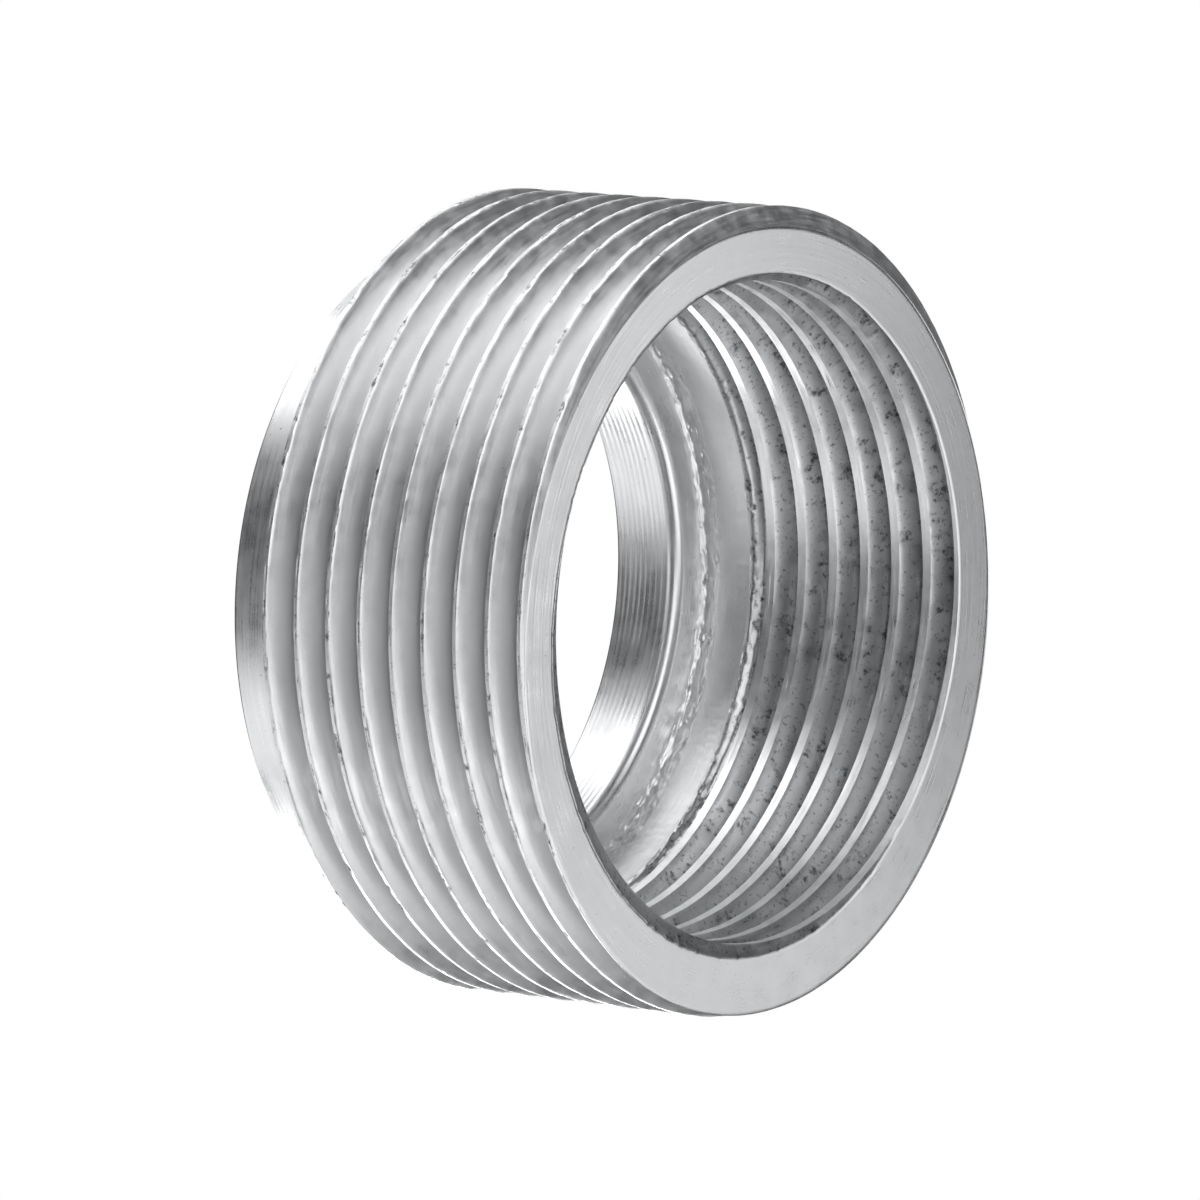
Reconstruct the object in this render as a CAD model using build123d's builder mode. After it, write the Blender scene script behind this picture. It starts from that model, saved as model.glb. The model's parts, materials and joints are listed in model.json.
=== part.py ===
from build123d import *
from build123d.topology import SkipClean
import os
from math import ceil, radians, tan

# A flush threaded pipe reducing bushing, machined from one piece of aluminium bar.
#
# Millimetres. +Z points out of the female mouth along the shared axis of every bore and thread. The origin
# is the centre of the flat rear end face, on which the bushing stands.

# Driving dimensions ---------------------------------------------------------------------------------

overall_length = 23.6

# both threads: 11 turns to the inch, 55 degree form
thread_pitch = 25.4 / 11
thread_depth = 1.479
thread_flank_angle = 27.5
crest_flat = thread_pitch / 6

# outside: a male thread, then a plain land at the rear
male_major_diameter = 47.80
land_diameter = 41.8
land_length = 4.2
land_edge_chamfer = 0.4

# inside: a female thread, a plain bore of its crest diameter, then a stop with a throat through it
bore_diameter = 38.952
plain_bore_length = 2.9
bore_corner_radius = 0.6
stop_thickness = 4.7
stop_width = 2.776
lip_radius = 0.8
throat_edge_chamfer = 0.3

# where each crest crosses the mouth face, turned about +Z from +X
male_crest_angle = 315.0
female_crest_angle = 100.0

# how far a thread cutter stands clear of the metal that it cuts
cutter_clearance = 0.25

# the blank is turned in this many equal sectors, so that no face of a helical crest is a long one
sector_count = 6

# Sizes that follow ----------------------------------------------------------------------------------

mouth_height = overall_length
female_thread_end = stop_thickness + bore_corner_radius + plain_bore_length

throat_radius = bore_diameter / 2 - stop_width
land_radius = land_diameter / 2
bore_radius = bore_diameter / 2
male_radius = male_major_diameter / 2


def groove_width(depth_below_crest):
    """Width of a thread groove at a depth below its crest. Above the crest the depth is negative."""
    return thread_pitch - crest_flat - 2 * depth_below_crest * tan(radians(thread_flank_angle))


def groove_cutter(crest, outward):
    """One turn of a helical cutter with a trapezium section, starting at +X on the plane z = 0.

    Outward is 1 where the crest is outside the root, and -1 where it is inside.
    """
    root = crest - outward * thread_depth
    open_side = crest + outward * cutter_clearance
    root_half = outward * groove_width(thread_depth) / 2
    open_half = outward * groove_width(-cutter_clearance) / 2
    with BuildPart() as cutter:
        with BuildLine():
            Helix(pitch=thread_pitch, height=thread_pitch, radius=root)
        with BuildSketch(Plane.XZ):
            with BuildLine():
                Polyline(
                    (root, -root_half),
                    (open_side, -open_half),
                    (open_side, open_half),
                    (root, root_half),
                    close=True,
                )
            make_face()
        sweep(is_frenet=True)
    return cutter.part


def turns_down_to(lowest):
    """Heights at which turns start, from one that leaves the mouth down to the first at or under lowest."""
    highest = mouth_height + thread_pitch
    count = ceil((highest - lowest) / thread_pitch)
    return [highest - thread_pitch * turn for turn in range(count + 1)]


def turns_within(lowest):
    """The same, down to the last one that is still at or over lowest."""
    return [height for height in turns_down_to(lowest) if height >= lowest]


def corner_at(section, radius, height):
    """The corner of a turned section that is nearest to a radius and a height."""
    return section.vertices().sort_by_distance((radius, height))[0]


# The blank: every turned surface, before threading --------------------------------------------------

sector_angle = 360 / sector_count

with BuildPart() as sector:
    with BuildSketch(Plane.XZ) as profile:
        with BuildLine():
            Polyline(
                (throat_radius, 0),
                (land_radius, 0),
                (land_radius, land_length),
                (male_radius, land_length),
                (male_radius, mouth_height),
                (bore_radius, mouth_height),
                (bore_radius, stop_thickness),
                (throat_radius, stop_thickness),
                close=True,
            )
        make_face()
        fillet(corner_at(profile, bore_radius, stop_thickness), radius=bore_corner_radius)
        fillet(corner_at(profile, throat_radius, stop_thickness), radius=lip_radius)
        chamfer(corner_at(profile, land_radius, 0), length=land_edge_chamfer)
        chamfer(corner_at(profile, throat_radius, 0), length=throat_edge_chamfer)
    revolve(axis=Axis.Z, revolution_arc=sector_angle)

sectors = [Rotation(0, 0, sector_angle * turn) * sector.part for turn in range(sector_count)]

# The threads ----------------------------------------------------------------------------------------

# a groove stands half a turn from its crest, and its cutter starts over the place where it meets the mouth
half_turn = 180

male_cutter = groove_cutter(male_radius, 1)
male_turn = Rotation(0, 0, male_crest_angle + half_turn)

female_cutter = groove_cutter(bore_radius, -1)
female_turn = Rotation(0, 0, female_crest_angle + half_turn)

# the inside thread stops in the bore, short of the shoulder
female_heights = turns_within(female_thread_end)
female_cuts = [Pos(0, 0, height) * female_turn * female_cutter for height in female_heights]

# the outside thread runs out over the land, which is smaller than its root
male_heights = turns_down_to(land_length - thread_pitch)
male_cuts = [Pos(0, 0, height) * male_turn * male_cutter for height in male_heights]

# cleaning would join the sectors' faces again
with SkipClean(), BuildPart() as reducing_bushing:
    for piece in sectors:
        add(piece)
    for cut in female_cuts + male_cuts:
        add(cut, mode=Mode.SUBTRACT)

os.makedirs("parts", exist_ok=True)
reducing_bushing.part.label = "reducing_bushing"
export_step(reducing_bushing.part, "parts/reducing_bushing.step")
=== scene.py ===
"""Looks for a flush threaded reducing bushing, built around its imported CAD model.

Metres throughout, in the row frame: +Z points out of the female mouth and the rear face stands on z = 0.
The one machined body is rebuilt as a fine mesh whose rows follow both helical threads, so that torn crests,
thread starts, chatter marks and turning rings are real shape. It stays inside the CAD body's box.
"""

import json
import logging
import math
from dataclasses import dataclass, field
from enum import Enum

import bpy
import numpy as np
from mathutils import Matrix, Vector

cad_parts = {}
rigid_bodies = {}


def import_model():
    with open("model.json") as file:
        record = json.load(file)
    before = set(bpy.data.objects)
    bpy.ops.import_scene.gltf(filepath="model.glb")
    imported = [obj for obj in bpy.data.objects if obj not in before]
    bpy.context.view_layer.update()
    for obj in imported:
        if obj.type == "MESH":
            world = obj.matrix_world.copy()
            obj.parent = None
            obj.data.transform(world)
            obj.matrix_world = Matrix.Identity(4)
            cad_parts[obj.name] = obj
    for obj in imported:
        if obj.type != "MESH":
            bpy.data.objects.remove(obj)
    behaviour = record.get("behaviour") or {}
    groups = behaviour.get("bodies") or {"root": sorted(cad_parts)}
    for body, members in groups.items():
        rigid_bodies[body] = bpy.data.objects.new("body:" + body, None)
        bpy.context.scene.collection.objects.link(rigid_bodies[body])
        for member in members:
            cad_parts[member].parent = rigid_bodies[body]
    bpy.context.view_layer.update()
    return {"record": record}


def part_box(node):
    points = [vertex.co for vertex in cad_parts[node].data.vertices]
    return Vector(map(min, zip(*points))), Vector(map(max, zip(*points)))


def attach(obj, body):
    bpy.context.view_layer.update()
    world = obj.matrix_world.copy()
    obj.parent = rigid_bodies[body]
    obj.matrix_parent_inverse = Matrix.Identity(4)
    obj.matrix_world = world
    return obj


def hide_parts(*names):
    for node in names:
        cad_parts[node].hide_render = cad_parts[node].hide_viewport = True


log = logging.getLogger("reducing_bushing")

MM = 0.001
TURN = 2 * math.pi
NODE = "reducing_bushing"


class Side(Enum):
    """Which side of the wall a thread is cut on: the value is the direction from root to crest."""

    OUTSIDE = 1
    INSIDE = -1


class Surface(Enum):
    """The finishes left on the metal, and their places in the mesh's material list."""

    MALE_THREAD = 0
    TURNED = 1
    FEMALE_THREAD = 2
    CHATTER = 3
    MOTTLED = 4
    TORN = 5


# Noise --------------------------------------------------------------------------------------------


@dataclass(frozen=True)
class ValueNoise:
    """Smooth random values on a lattice, the same on every run.

    The first coordinate counts turns round the axis, and repeats after `period` lattice cells.
    """

    seed: int
    cells_per_turn: int
    period: int

    def sample(self, turns: np.ndarray, along: np.ndarray) -> np.ndarray:
        """Reads the noise.

        Args:
            turns: Angle in whole turns, which may run past one.
            along: The second coordinate, in lattice cells.

        Returns:
            Values from 0 to 1, in the shape of the arguments.
        """
        table = np.random.default_rng(self.seed).random((self.period, 256))
        x = turns * self.cells_per_turn
        turns_cell, along_cell = np.floor(x), np.floor(along)
        fx, fy = x - turns_cell, along - along_cell
        fx, fy = fx * fx * (3 - 2 * fx), fy * fy * (3 - 2 * fy)
        i0 = turns_cell.astype(int) % self.period
        j0 = along_cell.astype(int) % 256
        i1, j1 = (i0 + 1) % self.period, (j0 + 1) % 256
        low = table[i0, j0] * (1 - fx) + table[i1, j0] * fx
        high = table[i0, j1] * (1 - fx) + table[i1, j1] * fx
        return low * (1 - fy) + high * fy


def wrapped(seed: int, cells: int) -> ValueNoise:
    """Noise that joins up with itself after one turn."""
    return ValueNoise(seed, cells, cells)


def running(seed: int, cells: int) -> ValueNoise:
    """Noise that carries on along a helix, turn after turn, with no repeat in the bushing's length."""
    return ValueNoise(seed, cells, cells * 16 + 7)


def smooth_step(low: float, high: float, x: np.ndarray) -> np.ndarray:
    """0 at low and beyond it, 1 at high and beyond it, and a smooth ramp between. Either may be the larger."""
    t = np.clip((x - low) / (high - low), 0, 1)
    return t * t * (3 - 2 * t)


def soft_positive(x: np.ndarray, softness: float) -> np.ndarray:
    """x where it is well above 0 and 0 where it is well below, rounded over between."""
    return (x + np.sqrt(x * x + softness * softness)) / 2


# The threads --------------------------------------------------------------------------------------


@dataclass(frozen=True)
class ThreadForm:
    """One helical thread. Its crest crosses the mouth face at `crest_angle`.

    Lengths are in metres and angles in radians. Crest and root shares are half widths, in pitches. Tears
    grow from `torn_from` to `torn_to`, which are values of crest_nearness.
    """

    side: Side
    pitch: float
    crest_radius: float
    root_radius: float
    crest_angle: float
    mouth: float
    end: float
    fades_out: bool
    crest_share: float = 0.022
    root_share: float = 0.045
    crest_softness: float = 0.04
    root_softness: float = 0.60
    tear_depth: float = 0.030 * MM
    torn_from: float = 0.80
    torn_to: float = 0.95
    tear_seed: int = 11

    def coil(self, angle: np.ndarray, height: np.ndarray) -> np.ndarray:
        """How many pitches a point lies above the crest that crosses the mouth face."""
        return (height - self.mouth) / self.pitch - (angle - self.crest_angle) / TURN

    def row_heights(self, angle: np.ndarray, phase: np.ndarray) -> np.ndarray:
        """Heights of the mesh rows that follow the helix, clamped to the threaded length.

        Args:
            angle: Column angles, one row.
            phase: Rows, in pitches from the crest that crosses the mouth face.

        Returns:
            Heights, one row of them for each phase.
        """
        height = self.mouth + self.pitch * (phase[:, None] + (angle - self.crest_angle)[None, :] / TURN)
        return np.clip(height, self.end, self.mouth)

    def phases(self, steps: tuple[float, ...]) -> np.ndarray:
        """Every row's phase, from the mouth down, far enough that the clamped ends are covered.

        Args:
            steps: Where the rows of one turn stand, in pitches from its crest.

        Returns:
            Phases in falling order.
        """
        turns = math.ceil((self.mouth - self.end) / self.pitch) + 1
        rows = [turn + step for turn in range(1, -turns - 2, -1) for step in steps]
        return np.array(sorted(rows, reverse=True))

    def crest_nearness(self, angle: np.ndarray, height: np.ndarray) -> np.ndarray:
        """1 on a crest's centre line, falling to 0 half a pitch away in the root."""
        coil = self.coil(angle, height)
        return 1 - 2 * np.abs(coil - np.floor(coil + 0.5))

    def along(self, angle: np.ndarray, height: np.ndarray) -> np.ndarray:
        """Turns travelled along the helix, the same on both sides of the mesh's seam."""
        return angle / TURN + np.floor(self.coil(angle, height) + 0.5)

    def fade(self, angle: np.ndarray, height: np.ndarray) -> np.ndarray:
        """1 on the full thread, falling to 0 over the last part of a turn of a thread that runs out.

        Args:
            angle: Not used.
            height: Heights above the rear face, in the same shape.

        Returns:
            The share of the full depth that is left.
        """
        if not self.fades_out:
            return np.ones_like(height)
        room = (height - self.end) / self.pitch
        return smooth_step(0.02, 0.55, room)

    def tear(self, angle: np.ndarray, height: np.ndarray) -> np.ndarray:
        """How badly the cutting tool tore the metal, from 0 to 1, between torn_from and torn_to.

        Args:
            angle: Angles round the axis.
            height: Heights above the rear face, in the same shape.

        Returns:
            0 on sound metal, up to 1 in the worst tears.
        """
        along = self.along(angle, height)
        across = self.crest_nearness(angle, height) * 7
        coarse = running(self.tear_seed, 67).sample(along, across * 0.5)
        middle = running(self.tear_seed + 1, 283).sample(along, across)
        fine = running(self.tear_seed + 2, 547).sample(along, across * 2)
        rough = 0.45 * coarse + 0.55 * middle
        bite = smooth_step(0.50, 0.78, rough) * (0.35 + 0.65 * fine) + 0.25 * smooth_step(0.55, 1.0, fine)
        return bite * smooth_step(self.torn_from, self.torn_to, self.crest_nearness(angle, height))

    def depth_share(self, away: np.ndarray) -> np.ndarray:
        """Share of the full depth at a distance from the crest's middle, in pitches, with a rounded root."""
        ramp = (away - self.crest_share) / (0.5 - self.root_share - self.crest_share)
        return 1 - soft_positive(1 - soft_positive(ramp, self.crest_softness), self.root_softness)

    def radius(self, angle: np.ndarray, height: np.ndarray) -> np.ndarray:
        """Radius of the cut surface at an angle and a height.

        Args:
            angle: Angles round the axis.
            height: Heights above the rear face, in the same shape.

        Returns:
            Radii, with the tears and scuffs cut in.
        """
        coil = self.coil(angle, height)
        away = np.abs(coil - np.floor(coil + 0.5))
        full = self.depth_share(np.array(0.5))
        depth = np.clip(self.depth_share(away) / full, 0, 1) * self.fade(angle, height)
        radius = self.crest_radius + (self.root_radius - self.crest_radius) * depth
        radius = radius - self.side.value * self.tear_depth * self.tear(angle, height)
        return radius - self.side.value * self.scuffs(angle, height)

    def scuffs(self, angle: np.ndarray, height: np.ndarray) -> np.ndarray:
        """Shallow smeared hollows that the chips left on the flanks, in metres.

        Args:
            angle: Angles round the axis.
            height: Heights above the rear face, in the same shape.

        Returns:
            Depths of the hollows.
        """
        along = self.along(angle, height)
        coil = self.coil(angle, height)
        patch = running(self.tear_seed + 3, 97).sample(along, (coil - np.floor(coil)) * 5)
        grain = running(self.tear_seed + 4, 311).sample(along, (coil - np.floor(coil)) * 11)
        return 0.012 * MM * patch * patch + 0.005 * MM * grain


# The machined body --------------------------------------------------------------------------------


@dataclass(frozen=True)
class Rings:
    """The rings that one turning pass leaves: their spacing, their depth and the seed of their wander."""

    spacing: float
    depth: float
    seed: int


@dataclass
class RowBand:
    """Mesh rows of one turned surface, listed in order round the section."""

    radius: np.ndarray
    height: np.ndarray
    surface: Surface


@dataclass
class ReducingBushing:
    """The whole bushing: one piece of aluminium, with every surface on one skin."""

    outer_radius: float
    length: float
    male_thread_length: float
    bore_radius: float
    throat_radius: float
    thread_pitch: float = 25.4 / 11 * MM
    male_root_radius: float = 22.42 * MM
    female_root_radius: float = 20.955 * MM
    female_thread_depth: float = 15.4 * MM
    male_crest_angle: float = math.radians(315)
    female_crest_angle: float = math.radians(100)
    land_radius: float = 20.9 * MM
    shoulder_height: float = 4.7 * MM
    corner_radius: float = 0.6 * MM
    lip_radius: float = 0.8 * MM
    land_chamfer: float = 0.4 * MM
    throat_chamfer: float = 0.3 * MM
    mouth_rounding: float = 0.033 * MM
    rear_rings: Rings = Rings(0.42 * MM, 0.010 * MM, 3)
    land_rings: Rings = Rings(0.27 * MM, 0.004 * MM, 4)
    mouth_rings: Rings = Rings(0.33 * MM, 0.003 * MM, 5)
    shoulder_rings: Rings = Rings(0.24 * MM, 0.006 * MM, 6)
    throat_rings: Rings = Rings(0.39 * MM, 0.011 * MM, 7)
    mottle_start: float = -1.2
    columns: int = 1152
    thread_steps: tuple[float, ...] = (
        -0.46, -0.41, -0.37, -0.32, -0.25, -0.18, -0.13, -0.10, -0.075, -0.05, -0.03, -0.015,
        0.0, 0.015, 0.03, 0.05, 0.075, 0.10, 0.13, 0.18, 0.25, 0.32, 0.37, 0.41, 0.46, 0.5,
    )
    angle: np.ndarray = field(init=False)

    def __post_init__(self) -> None:
        """Sets the column angles, with the last one back at the first."""
        self.angle = np.linspace(0, TURN, self.columns + 1)

    @classmethod
    def from_record(cls, record: dict) -> "ReducingBushing":
        """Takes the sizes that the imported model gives.

        Args:
            record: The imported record, whose mounts hold the sizes of the threads and the throat.

        Returns:
            The bushing, with every other size as it stands above.
        """
        low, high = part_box(NODE)
        mounts = {mount["name"]: mount["dims"] for mount in record["mounts"]}
        return cls(
            outer_radius=high.x,
            length=high.z - low.z,
            male_thread_length=mounts["male_thread"]["length_mm"] * MM,
            bore_radius=mounts["female_thread"]["r_mm"] * MM,
            throat_radius=mounts["throat_bore"]["r_mm"] * MM,
        )

    def male_thread(self) -> ThreadForm:
        """The outside thread, which runs out over the land.

        Returns:
            Its form, with tears along the sharp crests.
        """
        return ThreadForm(
            side=Side.OUTSIDE,
            pitch=self.thread_pitch,
            crest_radius=self.outer_radius,
            root_radius=self.male_root_radius,
            crest_angle=self.male_crest_angle,
            mouth=self.length,
            end=self.length - self.male_thread_length,
            fades_out=False,
        )

    def female_thread(self) -> ThreadForm:
        """The inside thread, which fades into the plain bore.

        Returns:
            Its form, with flat crests and torn flanks.
        """
        return ThreadForm(
            side=Side.INSIDE,
            pitch=self.thread_pitch,
            crest_radius=self.bore_radius,
            root_radius=self.female_root_radius,
            crest_angle=self.female_crest_angle,
            mouth=self.length,
            end=self.length - self.female_thread_depth,
            fades_out=True,
            crest_share=0.120,
            root_share=0.05,
            root_softness=0.50,
            tear_depth=0.075 * MM,
            torn_from=0.74,
            torn_to=0.60,
            tear_seed=31,
        )

    def flat(self, values: np.ndarray) -> np.ndarray:
        """One column of row values, spread over every angle."""
        return np.repeat(np.asarray(values, float)[:, None], len(self.angle), axis=1)

    def turns(self, rows: int) -> np.ndarray:
        """The column angles in whole turns, for a number of rows."""
        return self.flat(np.zeros(rows)) + self.angle[None, :] / TURN

    def rings(self, across: np.ndarray, kind: Rings) -> np.ndarray:
        """Turning rings, whose spacing and depth wander a little.

        Args:
            across: Position across the rings, in metres.
            kind: Their spacing, depth and seed.

        Returns:
            Depths in metres, 0 between two rings.
        """
        steps = across / kind.spacing
        wander = wrapped(kind.seed, 9).sample(self.turns(len(across)), steps * 0.31)
        wave = 0.5 - 0.5 * np.cos(TURN * (steps + 0.35 * wander))
        return kind.depth * wave * (0.45 + 0.55 * wander)

    def rear_band(self) -> RowBand:
        """The rear end face, from the throat's chamfer out to the land's.

        Returns:
            Its rows, outwards.
        """
        inner, outer = self.throat_radius + self.throat_chamfer, self.land_radius - self.land_chamfer
        radius = self.flat(np.linspace(inner, outer, 34))
        edge = smooth_step(0, 0.3 * MM, radius - inner) * smooth_step(0, 0.3 * MM, outer - radius)
        return RowBand(radius, self.rings(radius, self.rear_rings) * edge, Surface.TURNED)

    def land_band(self) -> RowBand:
        """The plain land behind the outside thread, with its chamfer.

        Returns:
            Its rows, upwards.
        """
        top = self.length - self.male_thread_length
        height = self.flat(np.linspace(self.land_chamfer, top, 44))
        edge = smooth_step(0, 0.2 * MM, height - self.land_chamfer) * smooth_step(0, 0.2 * MM, top - height)
        radius = self.land_radius - self.rings(height, self.land_rings) * edge
        return RowBand(radius, height, Surface.TURNED)

    def step_band(self, male: ThreadForm) -> RowBand:
        """The torn step where the outside thread ends, out to the cut surface.

        Args:
            male: The outside thread.

        Returns:
            Its rows, outwards.
        """
        share = self.flat(np.linspace(0.08, 0.96, 7))
        top = np.full_like(share, male.end)
        turns = self.turns(len(share))
        radius = self.land_radius + (male.radius(turns * TURN, top) - self.land_radius) * share
        ragged = wrapped(51, 173).sample(turns, share * 3) + wrapped(52, 61).sample(turns, share * 2)
        height = top - 0.16 * MM * (ragged - 1.0) * np.sin(math.pi * share)
        return RowBand(radius, height, Surface.TORN)

    def thread_band(self, thread: ThreadForm) -> RowBand:
        """The cut surface of one thread.

        Args:
            thread: The thread.

        Returns:
            Its rows, upwards outside and downwards inside.
        """
        phases = thread.phases(self.thread_steps)
        if thread.side is Side.OUTSIDE:
            phases = phases[::-1]
        height = thread.row_heights(self.angle, phases)
        angle = np.repeat(self.angle[None, :], len(phases), axis=0)
        radius = thread.radius(angle, height)
        surface = Surface.MALE_THREAD if thread.side is Side.OUTSIDE else Surface.FEMALE_THREAD
        return RowBand(radius, height + self.crest_lean(thread, angle, height), surface)

    def crest_lean(self, thread: ThreadForm, angle: np.ndarray, height: np.ndarray) -> np.ndarray:
        """The small sideways lean of torn crests, which vanishes at both ends of the thread.

        Args:
            thread: The thread.
            angle: Angles round the axis.
            height: Heights above the rear face, in the same shape.

        Returns:
            How far each point moves up the axis, in metres.
        """
        along = thread.along(angle, height)
        lean = running(thread.tear_seed + 5, 233).sample(along, np.zeros_like(along)) - 0.5
        slow = running(thread.tear_seed + 6, 37).sample(along, np.zeros_like(along)) - 0.5
        near = smooth_step(0.78, 0.98, thread.crest_nearness(angle, height))
        past_end = smooth_step(0, 0.5 * MM, height - thread.end)
        inside = past_end * smooth_step(0, 0.5 * MM, thread.mouth - height)
        return (0.035 * lean + 0.05 * slow) * MM * near * inside

    def mouth_band(self, male: ThreadForm, female: ThreadForm) -> RowBand:
        """The mouth's end face, from the outside thread's edge to the inside thread's.

        Args:
            male: The outside thread.
            female: The inside thread.

        Returns:
            Its rows, inwards, with both edges eased.
        """
        rows = np.concatenate(([0.012, 0.03, 0.055], np.linspace(0.09, 0.91, 20), [0.945, 0.97, 0.988]))
        top = self.flat([self.length] * len(rows))
        angle = np.repeat(self.angle[None, :], len(rows), axis=0)
        share = self.flat(rows)
        radius = male.radius(angle, top) * (1 - share) + female.radius(angle, top) * share
        width = male.radius(angle, top) - female.radius(angle, top)
        near_edge = np.minimum(share, 1 - share) * width
        rounding = self.mouth_rounding * (1 - smooth_step(0, 0.16 * MM, near_edge))
        marks = self.rings(radius, self.mouth_rings) * smooth_step(0, 0.3 * MM, near_edge)
        return RowBand(radius, top - rounding - marks, Surface.TURNED)

    def bore_band(self) -> RowBand:
        """The plain bore between the inside thread and the corner, with its chatter marks.

        Returns:
            Its rows, downwards.
        """
        top = self.length - self.female_thread_depth
        low = self.shoulder_height + self.corner_radius * (1 - math.sin(self.mottle_start))
        height = self.flat(np.linspace(top, low, 40)[1:])
        turns = self.turns(len(height))
        chatter = wrapped(61, 288).sample(turns, height / (1.1 * MM))
        chatter = chatter * wrapped(62, 23).sample(turns, height / (2.0 * MM))
        smear = wrapped(63, 480).sample(turns, height / (0.32 * MM))
        edge = smooth_step(0, 0.25 * MM, top - height)
        radius = self.bore_radius + (0.030 * chatter + 0.012 * smear) * MM * edge
        return RowBand(radius, height, Surface.CHATTER)

    def corner_band(self) -> RowBand:
        """The mottled corner at the foot of the bore.

        Returns:
            Its rows, down the foot of the bore and inwards round the corner.
        """
        sweep = self.flat(np.linspace(self.mottle_start, math.pi / 2, 28)[1:])
        turns = self.turns(len(sweep))
        spots = wrapped(64, 420).sample(turns, sweep * 5) * wrapped(65, 170).sample(turns, sweep * 3)
        fade_in = smooth_step(self.mottle_start, self.mottle_start + 0.3, sweep)
        ends = fade_in * smooth_step(math.pi / 2, 1.2, sweep)
        reach = self.corner_radius + 0.16 * MM * spots * ends
        straight = np.minimum(sweep, 0)
        radius = self.bore_radius - self.corner_radius + reach * np.cos(sweep - straight)
        height = self.shoulder_height + self.corner_radius - reach * np.sin(sweep)
        return RowBand(radius, height, Surface.MOTTLED)

    def shoulder_band(self) -> RowBand:
        """The flat shoulder that stops the inner pipe.

        Returns:
            Its rows, inwards.
        """
        outer, inner = self.bore_radius - self.corner_radius, self.throat_radius + self.lip_radius
        radius = self.flat(np.linspace(outer, inner, 16)[1:])
        edge = smooth_step(0, 0.15 * MM, outer - radius) * smooth_step(0, 0.15 * MM, radius - inner)
        return RowBand(
            radius, self.shoulder_height - self.rings(radius, self.shoulder_rings) * edge, Surface.TURNED
        )

    def lip_band(self) -> RowBand:
        """The rounded lip between the shoulder and the throat.

        Returns:
            Its rows, inwards and down.
        """
        sweep = self.flat(np.linspace(math.pi / 2, 0, 14)[1:])
        radius = self.throat_radius + self.lip_radius * (1 - np.cos(sweep))
        height = self.shoulder_height - self.lip_radius * (1 - np.sin(sweep))
        return RowBand(radius, height, Surface.TURNED)

    def throat_band(self) -> RowBand:
        """The throat, with the coarse rings of one boring pass.

        Returns:
            Its rows, downwards.
        """
        top, low = self.shoulder_height - self.lip_radius, self.throat_chamfer
        height = self.flat(np.linspace(top, low, 110)[1:])
        edge = smooth_step(0, 0.25 * MM, top - height) * smooth_step(0, 0.15 * MM, height - low)
        radius = self.throat_radius + self.rings(height, self.throat_rings) * edge
        return RowBand(radius, height, Surface.TURNED)

    def section(self) -> list[RowBand]:
        """Every band, in order round the closed section.

        Returns:
            The bands, from the rear face round to the throat.
        """
        male, female = self.male_thread(), self.female_thread()
        return [
            self.rear_band(),
            self.land_band(),
            self.step_band(male),
            self.thread_band(male),
            self.mouth_band(male, female),
            self.thread_band(female),
            self.bore_band(),
            self.corner_band(),
            self.shoulder_band(),
            self.lip_band(),
            self.throat_band(),
        ]

    def skin(self) -> tuple[np.ndarray, np.ndarray, np.ndarray, np.ndarray]:
        """Joins the bands into one skin.

        Returns:
            Corner points, quads, triangles, and each face's finish, quads first.
        """
        bands = self.section()
        radius = np.vstack([band.radius for band in bands])
        height = np.vstack([band.height for band in bands])
        surface = np.concatenate([[band.surface.value] * len(band.radius) for band in bands])
        radius = np.minimum(radius, self.outer_radius)
        height = np.clip(height, 0, self.length)
        turned = np.where(np.arange(self.columns + 1) == self.columns, 0.0, self.angle)
        points = np.stack((radius * np.cos(turned), radius * np.sin(turned), height), axis=-1)
        rows, columns = radius.shape
        index = np.arange(rows * columns).reshape(rows, columns)
        below, above = index, np.roll(index, -1, axis=0)
        quads = np.stack((below[:, :-1], below[:, 1:], above[:, 1:], above[:, :-1]), axis=-1).reshape(-1, 4)
        finish = np.repeat(np.maximum(surface, np.roll(surface, -1)), columns - 1)
        return merge_skin(points.reshape(-1, 3), quads, finish)

    def build(self) -> bpy.types.Object:
        """Makes the mesh object and lets it stand for the CAD body.

        Returns:
            The object, with no finishes yet.
        """
        points, quads, triangles, finish = self.skin()
        mesh = bpy.data.meshes.new("bushing_body")
        mesh.from_pydata(points.tolist(), [], quads.tolist() + triangles.tolist())
        mesh.polygons.foreach_set("material_index", finish.astype(np.int32))
        mesh.polygons.foreach_set("use_smooth", np.ones(len(finish), bool))
        mesh.set_sharp_from_angle(angle=math.radians(38))
        self.mark_tears(mesh, points)
        body = bpy.data.objects.new("bushing_body", mesh)
        bpy.context.scene.collection.objects.link(body)
        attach(body, "root")
        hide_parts(NODE)
        log.info("bushing_body: %d points, %d faces", len(points), len(finish))
        return body

    def mark_tears(self, mesh: bpy.types.Mesh, points: np.ndarray) -> None:
        """Stores how torn and how near a crest each point is, for the finishes to read.

        Args:
            mesh: The mesh to mark.
            points: Its points.
        """
        angle = np.mod(np.arctan2(points[:, 1], points[:, 0]), TURN)
        radius = np.hypot(points[:, 0], points[:, 1])
        torn, crest = np.zeros(len(points)), np.zeros(len(points))
        for thread in (self.male_thread(), self.female_thread()):
            low, high = sorted((thread.crest_radius, thread.root_radius))
            on = (radius > low - 0.2 * MM) & (radius < high + 0.2 * MM)
            on = on & (points[:, 2] > thread.end + 0.01 * MM)
            torn[on] = thread.tear(angle[on], points[on, 2])
            crest[on] = thread.crest_nearness(angle[on], points[on, 2])
        for name, values in (("torn", torn), ("crest", crest)):
            layer = mesh.attributes.new(name, "FLOAT", "POINT")
            layer.data.foreach_set("value", values.astype(np.float32))

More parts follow.
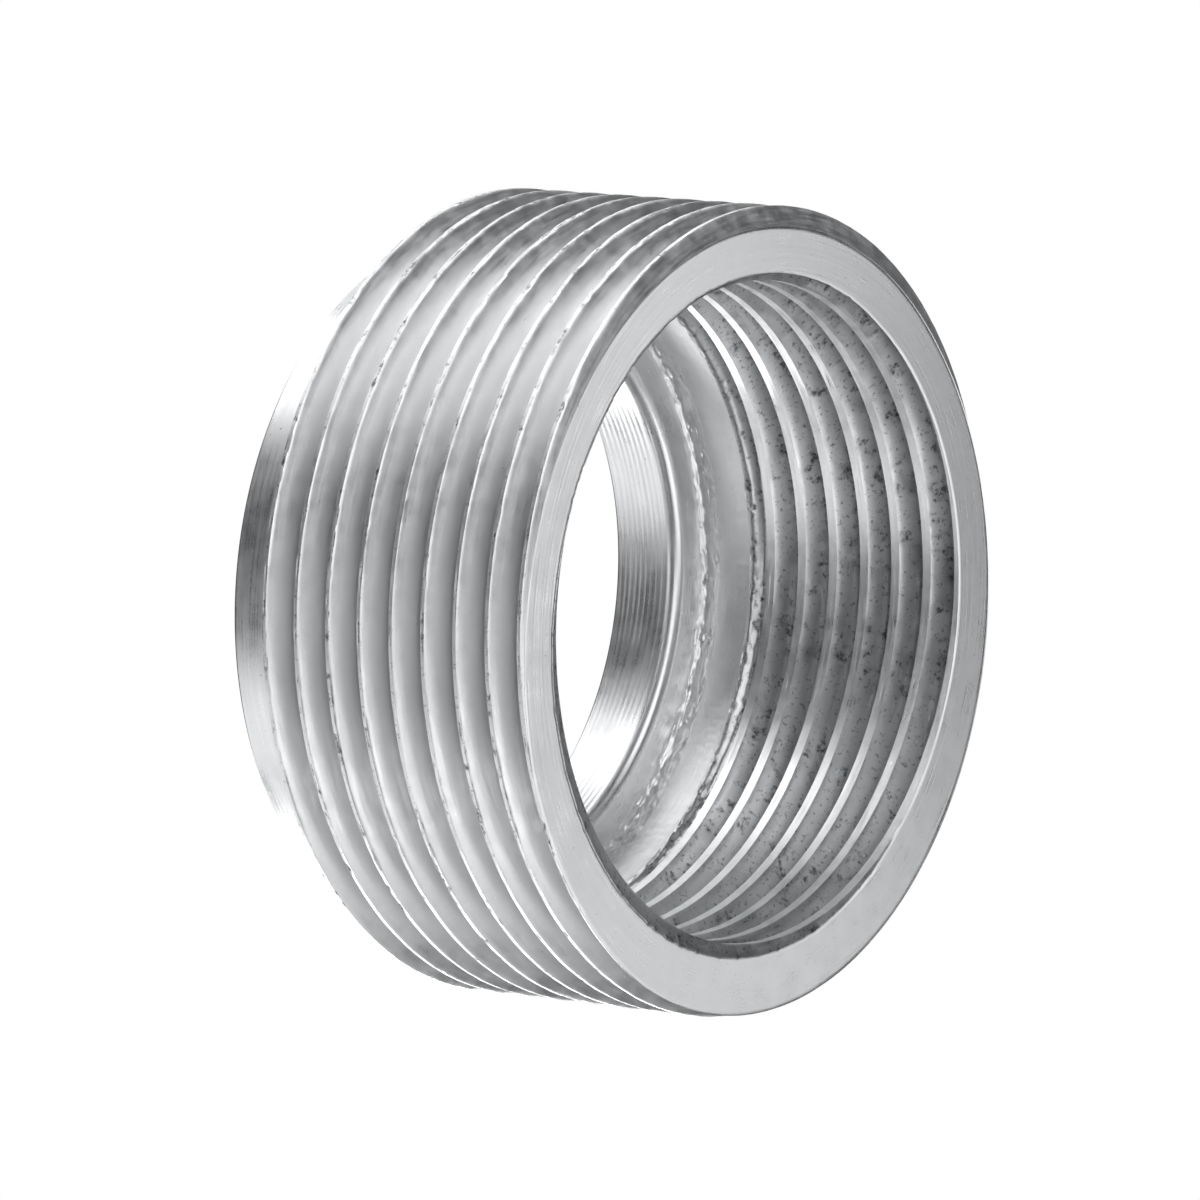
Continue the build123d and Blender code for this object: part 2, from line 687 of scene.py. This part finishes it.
    def dress(self, body: bpy.types.Object) -> None:
        """Gives every surface its finish, in the order of the Surface list.

        Args:
            body: The mesh object.
        """
        finishes = (
            ThreadCutAluminium(name="male_thread_aluminium", pitch=self.thread_pitch),
            TurnedAluminium(name="turned_aluminium"),
            ThreadCutAluminium(
                name="female_thread_aluminium",
                pitch=self.thread_pitch,
                base=0.93,
                roughness=0.33,
                mottle=0.12,
                dirty=0.60,
                # painted shade: the roots of the inside thread are darkened in colour
                painted_root_shade=0.30,
                rough_from=0.76,
                rough_to=0.62,
            ),
            TurnedAluminium(
                name="chattered_aluminium",
                roughness=0.40,
                mark_depth=0.014 * MM,
                marks_across=14,
                blotch=0.08,
            ),
            TurnedAluminium(
                name="mottled_aluminium",
                base=0.93,
                roughness=0.34,
                mark_depth=0.05 * MM,
                marks_across=4.5,
                blotch=0.05,
            ),
            TurnedAluminium(
                name="torn_aluminium",
                roughness=0.42,
                mark_depth=0.03 * MM,
                marks_across=6,
                blotch=0.35,
            ),
        )
        for finish in finishes:
            body.data.materials.append(finish.material())


# points whose coordinates round to the same multiples of this are welded
WELD_STEP = 0.0001 * MM


def merge_skin(
    points: np.ndarray, quads: np.ndarray, finish: np.ndarray
) -> tuple[np.ndarray, np.ndarray, np.ndarray, np.ndarray]:
    """Welds points that fall together and drops the faces that vanish with them.

    Args:
        points: Points, with repeats.
        quads: Quads over them.
        finish: Each quad's finish.

    Returns:
        Points, quads, triangles, and each face's finish, quads first.
    """
    keys = np.round(points / WELD_STEP).astype(np.int64)
    key = (keys[:, 0] * 1_000_003 + keys[:, 1]) * 1_000_003 + keys[:, 2]
    _, first, inverse = np.unique(key, return_index=True, return_inverse=True)
    quads = inverse[quads]
    repeats = np.stack([quads[:, i] == quads[:, (i + 1) % 4] for i in range(4)], axis=1)
    crossed = (quads[:, 0] == quads[:, 2]) | (quads[:, 1] == quads[:, 3])
    count = repeats.sum(axis=1)
    whole = (count == 0) & ~crossed
    single = (count == 1) & ~crossed
    bent = quads[single]
    keep = ~repeats[single]
    triangles = bent[keep].reshape(-1, 3)
    used = np.unique(np.concatenate((quads[whole].ravel(), triangles.ravel())))
    place = np.full(len(first), -1)
    place[used] = np.arange(len(used))
    return (
        points[first[used]],
        place[quads[whole]],
        place[triangles],
        np.concatenate((finish[whole], finish[single])),
    )


# Finishes -----------------------------------------------------------------------------------------


class NodeNet:
    """A small maker of shader nodes for one material."""

    def __init__(self, name: str) -> None:
        """Starts an empty metal material.

        Args:
            name: The material's name.
        """
        self.material = bpy.data.materials.new(name)
        self.material.use_nodes = True
        self.tree = self.material.node_tree
        self.shader = self.tree.nodes["Principled BSDF"]

    def node(self, kind: str, **settings: object) -> bpy.types.Node:
        """Adds a node and sets its options.

        Args:
            kind: The node's type.
            settings: Its options, by name.

        Returns:
            The node.
        """
        made = self.tree.nodes.new(kind)
        for key, value in settings.items():
            setattr(made, key, value)
        return made

    def join(self, source: object, target: bpy.types.NodeSocket) -> None:
        """Links a socket, or sets a plain value.

        Args:
            source: A socket, or a value.
            target: The input that takes it.
        """
        if isinstance(source, bpy.types.NodeSocket):
            self.tree.links.new(source, target)
        else:
            target.default_value = source

    def math(self, operation: str, first: object, second: object = 0.0) -> bpy.types.NodeSocket:
        """A Math node's result.

        Args:
            operation: What it works out.
            first: Its first socket or value.
            second: Its second one.

        Returns:
            The result's socket.
        """
        made = self.node("ShaderNodeMath", operation=operation)
        self.join(first, made.inputs[0])
        self.join(second, made.inputs[1])
        return made.outputs[0]

    def vector(self, x: object, y: object, z: object) -> bpy.types.NodeSocket:
        """Three values as one vector.

        Args:
            x: Socket or value.
            y: Socket or value.
            z: Socket or value.

        Returns:
            The vector's socket.
        """
        made = self.node("ShaderNodeCombineXYZ")
        for value, target in zip((x, y, z), made.inputs):
            self.join(value, target)
        return made.outputs[0]

    def noise(
        self, vector: object, w: object, scale: float, detail: float, rough: float = 0.5
    ) -> bpy.types.NodeSocket:
        """A four-way noise texture's value.

        Args:
            vector: Its first three coordinates.
            w: Its fourth coordinate.
            scale: Cells to one unit.
            detail: How many finer layers are added.
            rough: How strong each finer layer is.

        Returns:
            The value's socket.
        """
        made = self.node("ShaderNodeTexNoise", noise_dimensions="4D")
        self.join(vector, made.inputs["Vector"])
        self.join(w, made.inputs["W"])
        made.inputs["Scale"].default_value = scale
        made.inputs["Detail"].default_value = detail
        made.inputs["Roughness"].default_value = rough
        return made.outputs[0]

    def ramp(
        self, value: object, low: float, high: float, out_low: float, out_high: float
    ) -> bpy.types.NodeSocket:
        """A value moved from one range to another, and held inside it.

        Args:
            value: Socket or value.
            low: Where the result is out_low.
            high: Where the result is out_high.
            out_low: One end of the result.
            out_high: The other end.

        Returns:
            The result's socket.
        """
        made = self.node("ShaderNodeMapRange")
        self.join(value, made.inputs["Value"])
        for key, number in (("From Min", low), ("From Max", high), ("To Min", out_low), ("To Max", out_high)):
            made.inputs[key].default_value = number
        return made.outputs[0]

    def mix(self, share: object, first: object, second: object) -> bpy.types.NodeSocket:
        """A colour between two colours.

        Args:
            share: 0 for the first colour, 1 for the second.
            first: Socket or colour.
            second: Socket or colour.

        Returns:
            The colour's socket.
        """
        made = self.node("ShaderNodeMix", data_type="RGBA")
        self.join(share, made.inputs[0])
        self.join(first, made.inputs[6])
        self.join(second, made.inputs[7])
        return made.outputs[2]

    def attribute(self, name: str) -> bpy.types.NodeSocket:
        """A value stored on the mesh's points."""
        return self.node("ShaderNodeAttribute", attribute_name=name).outputs["Fac"]

    def place(self) -> tuple[bpy.types.NodeSocket, ...]:
        """x, y and z of the point on the object, in millimetres, and its distance from the axis.

        Returns:
            The four sockets.
        """
        split = self.node("ShaderNodeSeparateXYZ")
        self.join(self.node("ShaderNodeTexCoord").outputs["Object"], split.inputs[0])
        x, y, z = (self.math("MULTIPLY", socket, 1000.0) for socket in split.outputs)
        square = self.math("ADD", self.math("MULTIPLY", x, x), self.math("MULTIPLY", y, y))
        return x, y, z, self.math("SQRT", square)

    def ring_tangent(self) -> None:
        """Turns the grain of the metal round the axis."""
        tangent = self.node("ShaderNodeTangent", direction_type="RADIAL", axis="Z")
        self.join(tangent.outputs[0], self.shader.inputs["Tangent"])

    def bump(self, height: object, distance: float, strength: float = 1.0) -> None:
        """Raises the surface's look by a height.

        Args:
            height: Socket, from 0 to 1.
            distance: What 1 stands for, in metres.
            strength: Share of the effect.
        """
        made = self.node("ShaderNodeBump")
        made.inputs["Strength"].default_value = strength
        made.inputs["Distance"].default_value = distance
        self.join(height, made.inputs["Height"])
        self.join(made.outputs[0], self.shader.inputs["Normal"])


def grey(value: float, cool: float = 0.008) -> tuple[float, float, float, float]:
    """A nearly neutral grey with a slight cool cast."""
    return (value - cool, value, value + cool, 1.0)


@dataclass(frozen=True)
class TurnedAluminium:
    """Bright aluminium with the fine circular marks of a lathe tool.

    `marks_across` is about how many marks fall in a millimetre, and `blotch` is how much darker the patches
    are than the base tone.
    """

    name: str
    base: float = 0.88
    roughness: float = 0.31
    mark_depth: float = 0.006 * MM
    marks_across: float = 9.0
    blotch: float = 0.06

    def material(self) -> bpy.types.Material:
        """Builds the material.

        Returns:
            The material.
        """
        net = NodeNet(self.name)
        x, y, z, radius = net.place()
        slow = 0.16
        place = net.vector(
            net.math("MULTIPLY", x, slow),
            net.math("MULTIPLY", y, slow),
            net.math("MULTIPLY", z, self.marks_across),
        )
        marks = net.noise(place, net.math("MULTIPLY", radius, self.marks_across), 1.0, 3.0, 0.6)
        cloud = net.noise(net.vector(x, y, z), 0.0, 0.55, 4.0)
        speck = net.noise(net.vector(x, y, z), 3.0, 5.5, 2.0)
        in_cloud = net.ramp(cloud, 0.45, 0.62, 0.0, 1.0)
        dirt = net.math("MULTIPLY", net.ramp(speck, 0.68, 0.78, 0.0, 0.75), in_cloud)
        clear = net.ramp(cloud, 0.35, 0.65, 0.0, 1.0)
        tone = net.mix(clear, grey(self.base - self.blotch), grey(self.base))
        net.join(net.mix(dirt, tone, grey(0.10)), net.shader.inputs["Base Color"])
        net.join(
            net.math(
                "ADD",
                net.ramp(cloud, 0.3, 0.7, self.roughness - 0.05, self.roughness + 0.07),
                net.ramp(marks, 0.35, 0.65, -0.04, 0.05),
            ),
            net.shader.inputs["Roughness"],
        )
        net.shader.inputs["Metallic"].default_value = 1.0
        net.shader.inputs["Anisotropic"].default_value = 0.55
        net.ring_tangent()
        net.bump(marks, self.mark_depth)
        return net.material


@dataclass(frozen=True)
class ThreadCutAluminium:
    """Aluminium cut by a threading tool: marks along the helix, roots darkened with painted shade, and dirt in
    the torn metal.

    `mottle` is how much darker the patches are than the base tone. The roots' setting is how much darker the
    roots are
    painted: painted shade in place of the shade in the thread's hollows. `dirty` is how dark the specks of
    dirt are.
    They set in from `rough_from` to `rough_to`, which are values of the mesh's crest attribute.
    """

    name: str
    pitch: float
    base: float = 0.88
    roughness: float = 0.36
    mottle: float = 0.05
    dirty: float = 0.40
    # painted shade: how much darker the roots are painted, in place of the shade in the thread's hollows
    painted_root_shade: float = 0.20
    rough_from: float = 0.80
    rough_to: float = 0.93

    def material(self) -> bpy.types.Material:
        """Builds the material. The marks repeat every pitch up the helix, so that they join after a turn.

        Returns:
            The material.
        """
        net = NodeNet(self.name)
        x, y, z, _ = net.place()
        turns = net.math("DIVIDE", net.math("ARCTAN2", y, x), TURN)
        coil = net.math("SUBTRACT", net.math("DIVIDE", z, self.pitch / MM), turns)
        lap = net.math("MULTIPLY", coil, TURN)
        slow, reach = 0.35, 3.4
        across = net.math("MULTIPLY", net.math("COSINE", lap), reach)
        place = net.vector(
            net.math("MULTIPLY", x, slow),
            net.math("MULTIPLY", y, slow),
            net.math("ADD", net.math("MULTIPLY", z, 0.45), across),
        )
        marks = net.noise(place, net.math("MULTIPLY", net.math("SINE", lap), reach), 1.0, 3.0, 0.62)
        cloud = net.noise(net.vector(x, y, z), 1.7, 0.9, 4.0, 0.6)
        grain = net.noise(net.vector(x, y, z), 5.1, 4.2, 3.0, 0.6)
        torn, crest = net.attribute("torn"), net.attribute("crest")
        near = net.ramp(crest, self.rough_from, self.rough_to, 0.0, 1.0)
        speck = net.math("MULTIPLY", net.ramp(grain, 0.57, 0.66, 0.0, 1.0), near)
        in_tear = net.ramp(torn, 0.30, 0.75, 0.0, 1.0)
        bite = net.math("MULTIPLY", in_tear, net.ramp(grain, 0.42, 0.60, 0.2, 1.0))
        dirt = net.math("MINIMUM", net.math("ADD", net.math("MULTIPLY", speck, self.dirty), bite), 0.9)
        clear = net.ramp(cloud, 0.35, 0.68, 0.0, 1.0)
        tone = net.mix(clear, grey(self.base - self.mottle), grey(self.base + 0.03))
        # painted shade: away from the crest the colour darkens towards the root, in place of the shade in the
        # hollows
        painted_shade_share = net.ramp(crest, 0.70, 0.25, 0.0, 1.0)
        tone_with_painted_shade = net.mix(painted_shade_share, tone, grey(self.base - self.painted_root_shade))
        net.join(net.mix(dirt, tone_with_painted_shade, grey(0.13)), net.shader.inputs["Base Color"])
        worn = net.ramp(cloud, 0.3, 0.7, -0.05, 0.09)
        rough = net.math("ADD", worn, net.ramp(marks, 0.35, 0.65, -0.05, 0.06))
        net.join(net.math("ADD", rough, self.roughness), net.shader.inputs["Roughness"])
        net.shader.inputs["Metallic"].default_value = 1.0
        net.shader.inputs["Anisotropic"].default_value = 0.4
        net.ring_tangent()
        net.bump(net.math("ADD", marks, net.math("MULTIPLY", grain, 0.5)), 0.006 * MM)
        return net.material


# The studio ---------------------------------------------------------------------------------------


@dataclass(frozen=True)
class Softbox:
    """One soft light. Its place is given from the middle of the bushing, along the camera's own axes."""

    name: str
    right: float
    up: float
    back: float
    brightness: float


@dataclass(frozen=True)
class Studio:
    """A pale floor, plain soft lights and the camera.

    The camera looks from `azimuth` and `elevation` round the middle of the mouth, and is rolled over by
    `roll`, so that it sees the bushing lying on its side. It aims `aim_left` and `aim_up` of that middle.
    """

    mouth: float
    azimuth: float = math.radians(-93.2)
    elevation: float = math.radians(36.4)
    roll: float = math.radians(95.4)
    lens: float = 335.0
    distance: float = 654 * MM
    aim_left: float = 9.85 * MM
    aim_up: float = 0.8 * MM
    light_distance: float = 0.42
    box_side: float = 0.24
    room_strength: float = 0.08
    floor_half_side: float = 2.0
    floor_gap: float = 0.02 * MM
    boxes: tuple[Softbox, ...] = (
        Softbox("beside_camera", 0.3, 0.0, 0.95, 1.2),
        Softbox("camera_upper_right", 0.4, 0.55, 0.75, 1.6),
        Softbox("camera_left", -0.75, -0.1, 0.65, 0.9),
        Softbox("camera_lower_right", 0.7, -0.45, 0.6, 1.6),
        Softbox("camera_top", -0.2, 0.85, 0.5, 1.7),
        Softbox("camera_bottom", -0.4, -0.8, 0.4, 1.4),
        Softbox("underneath", 0.4, -0.9, 0.2, 0.9),
        Softbox("overhead", 0.3, 0.95, 0.1, 3.5),
        Softbox("lower_left", -0.85, -0.5, 0.0, 1.0),
        Softbox("right", 1.0, -0.2, 0.0, 1.2),
        Softbox("upper_left", -0.55, 0.8, -0.1, 1.9),
        Softbox("rear_top", 0.0, 0.85, -0.5, 2.0),
        Softbox("rear_bottom", 0.15, -0.6, -0.8, 5.0),
        Softbox("rear_lower_left", -0.5, -0.65, -0.6, 3.0),
    )

    def view(self) -> Matrix:
        """The camera's turn: round the bushing's axis, up towards its mouth, and over onto its side.

        Returns:
            The turn, as a matrix that moves nothing.
        """
        return (
            Matrix.Rotation(self.azimuth + math.pi / 2, 4, "Z")
            @ Matrix.Rotation(math.pi / 2 - self.elevation, 4, "X")
            @ Matrix.Rotation(self.roll, 4, "Z")
        )

    def camera(self) -> None:
        """Sets the camera at its angle and makes it the scene's own."""
        camera = bpy.data.objects.new("camera", bpy.data.cameras.new("camera"))
        camera.data.sensor_width = 36.0
        camera.data.lens = self.lens
        camera.data.clip_start, camera.data.clip_end = 0.05, 10.0
        offset = Matrix.Translation((-self.aim_left, self.aim_up, self.distance))
        camera.matrix_world = Matrix.Translation((0, 0, self.mouth)) @ self.view() @ offset
        bpy.context.scene.collection.objects.link(camera)
        bpy.context.scene.camera = camera

    def lights(self) -> None:
        """Hangs the softboxes, each turned to the middle of the bushing."""
        middle = Vector((0, 0, self.mouth / 2))
        for box in self.boxes:
            toward = (self.view() @ Vector((box.right, box.up, box.back))).normalized()
            lamp = bpy.data.lights.new(box.name, "AREA")
            lamp.shape = "SQUARE"
            lamp.size = self.box_side
            lamp.energy = box.brightness * self.box_side**2 * math.pi
            holder = bpy.data.objects.new(box.name, lamp)
            holder.matrix_world = (
                Matrix.Translation(middle + toward * self.light_distance)
                @ toward.to_track_quat("Z", "Y").to_matrix().to_4x4()
            )
            holder.visible_camera = False
            bpy.context.scene.collection.objects.link(holder)

    def surroundings(self) -> None:
        """A dim even room, so that no reflection goes black."""
        world = bpy.data.worlds.new("room")
        world.use_nodes = True
        background = world.node_tree.nodes["Background"]
        background.inputs["Color"].default_value = (0.95, 0.97, 1.0, 1.0)
        background.inputs["Strength"].default_value = self.room_strength
        bpy.context.scene.world = world

    def floor(self) -> None:
        """A plain white table that lights nothing and shows no reflection."""
        mesh = bpy.data.meshes.new("floor")
        side = self.floor_half_side
        outline = [(-side, -side, 0), (side, -side, 0), (side, side, 0), (-side, side, 0)]
        mesh.from_pydata(outline, [], [(0, 1, 2, 3)])
        floor = bpy.data.objects.new("floor", mesh)
        floor.location.z = -self.floor_gap
        material = bpy.data.materials.new("white_table")
        material.use_nodes = True
        tree = material.node_tree
        tree.nodes.clear()
        glow = tree.nodes.new("ShaderNodeEmission")
        glow.inputs["Color"].default_value = (1.0, 1.0, 1.0, 1.0)
        glow.inputs["Strength"].default_value = 1.0
        tree.links.new(glow.outputs[0], tree.nodes.new("ShaderNodeOutputMaterial").inputs[0])
        mesh.materials.append(material)
        bpy.context.scene.collection.objects.link(floor)
        floor.visible_glossy = False
        floor.visible_diffuse = False
        floor.visible_shadow = False

    def build(self) -> None:
        """Sets up everything round the bushing."""
        bpy.context.scene.view_settings.view_transform = "Standard"
        self.camera()
        self.lights()
        self.surroundings()
        self.floor()
        log.info("studio: %d softboxes", len(self.boxes))


# The script ---------------------------------------------------------------------------------------


def main() -> None:
    """Builds the bushing and its studio."""
    logging.basicConfig(level=logging.INFO, format="%(name)s: %(message)s")
    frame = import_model()
    bushing = ReducingBushing.from_record(frame["record"])
    bushing.dress(bushing.build())
    Studio(mouth=bushing.length).build()


if __name__ == "__main__":
    main()
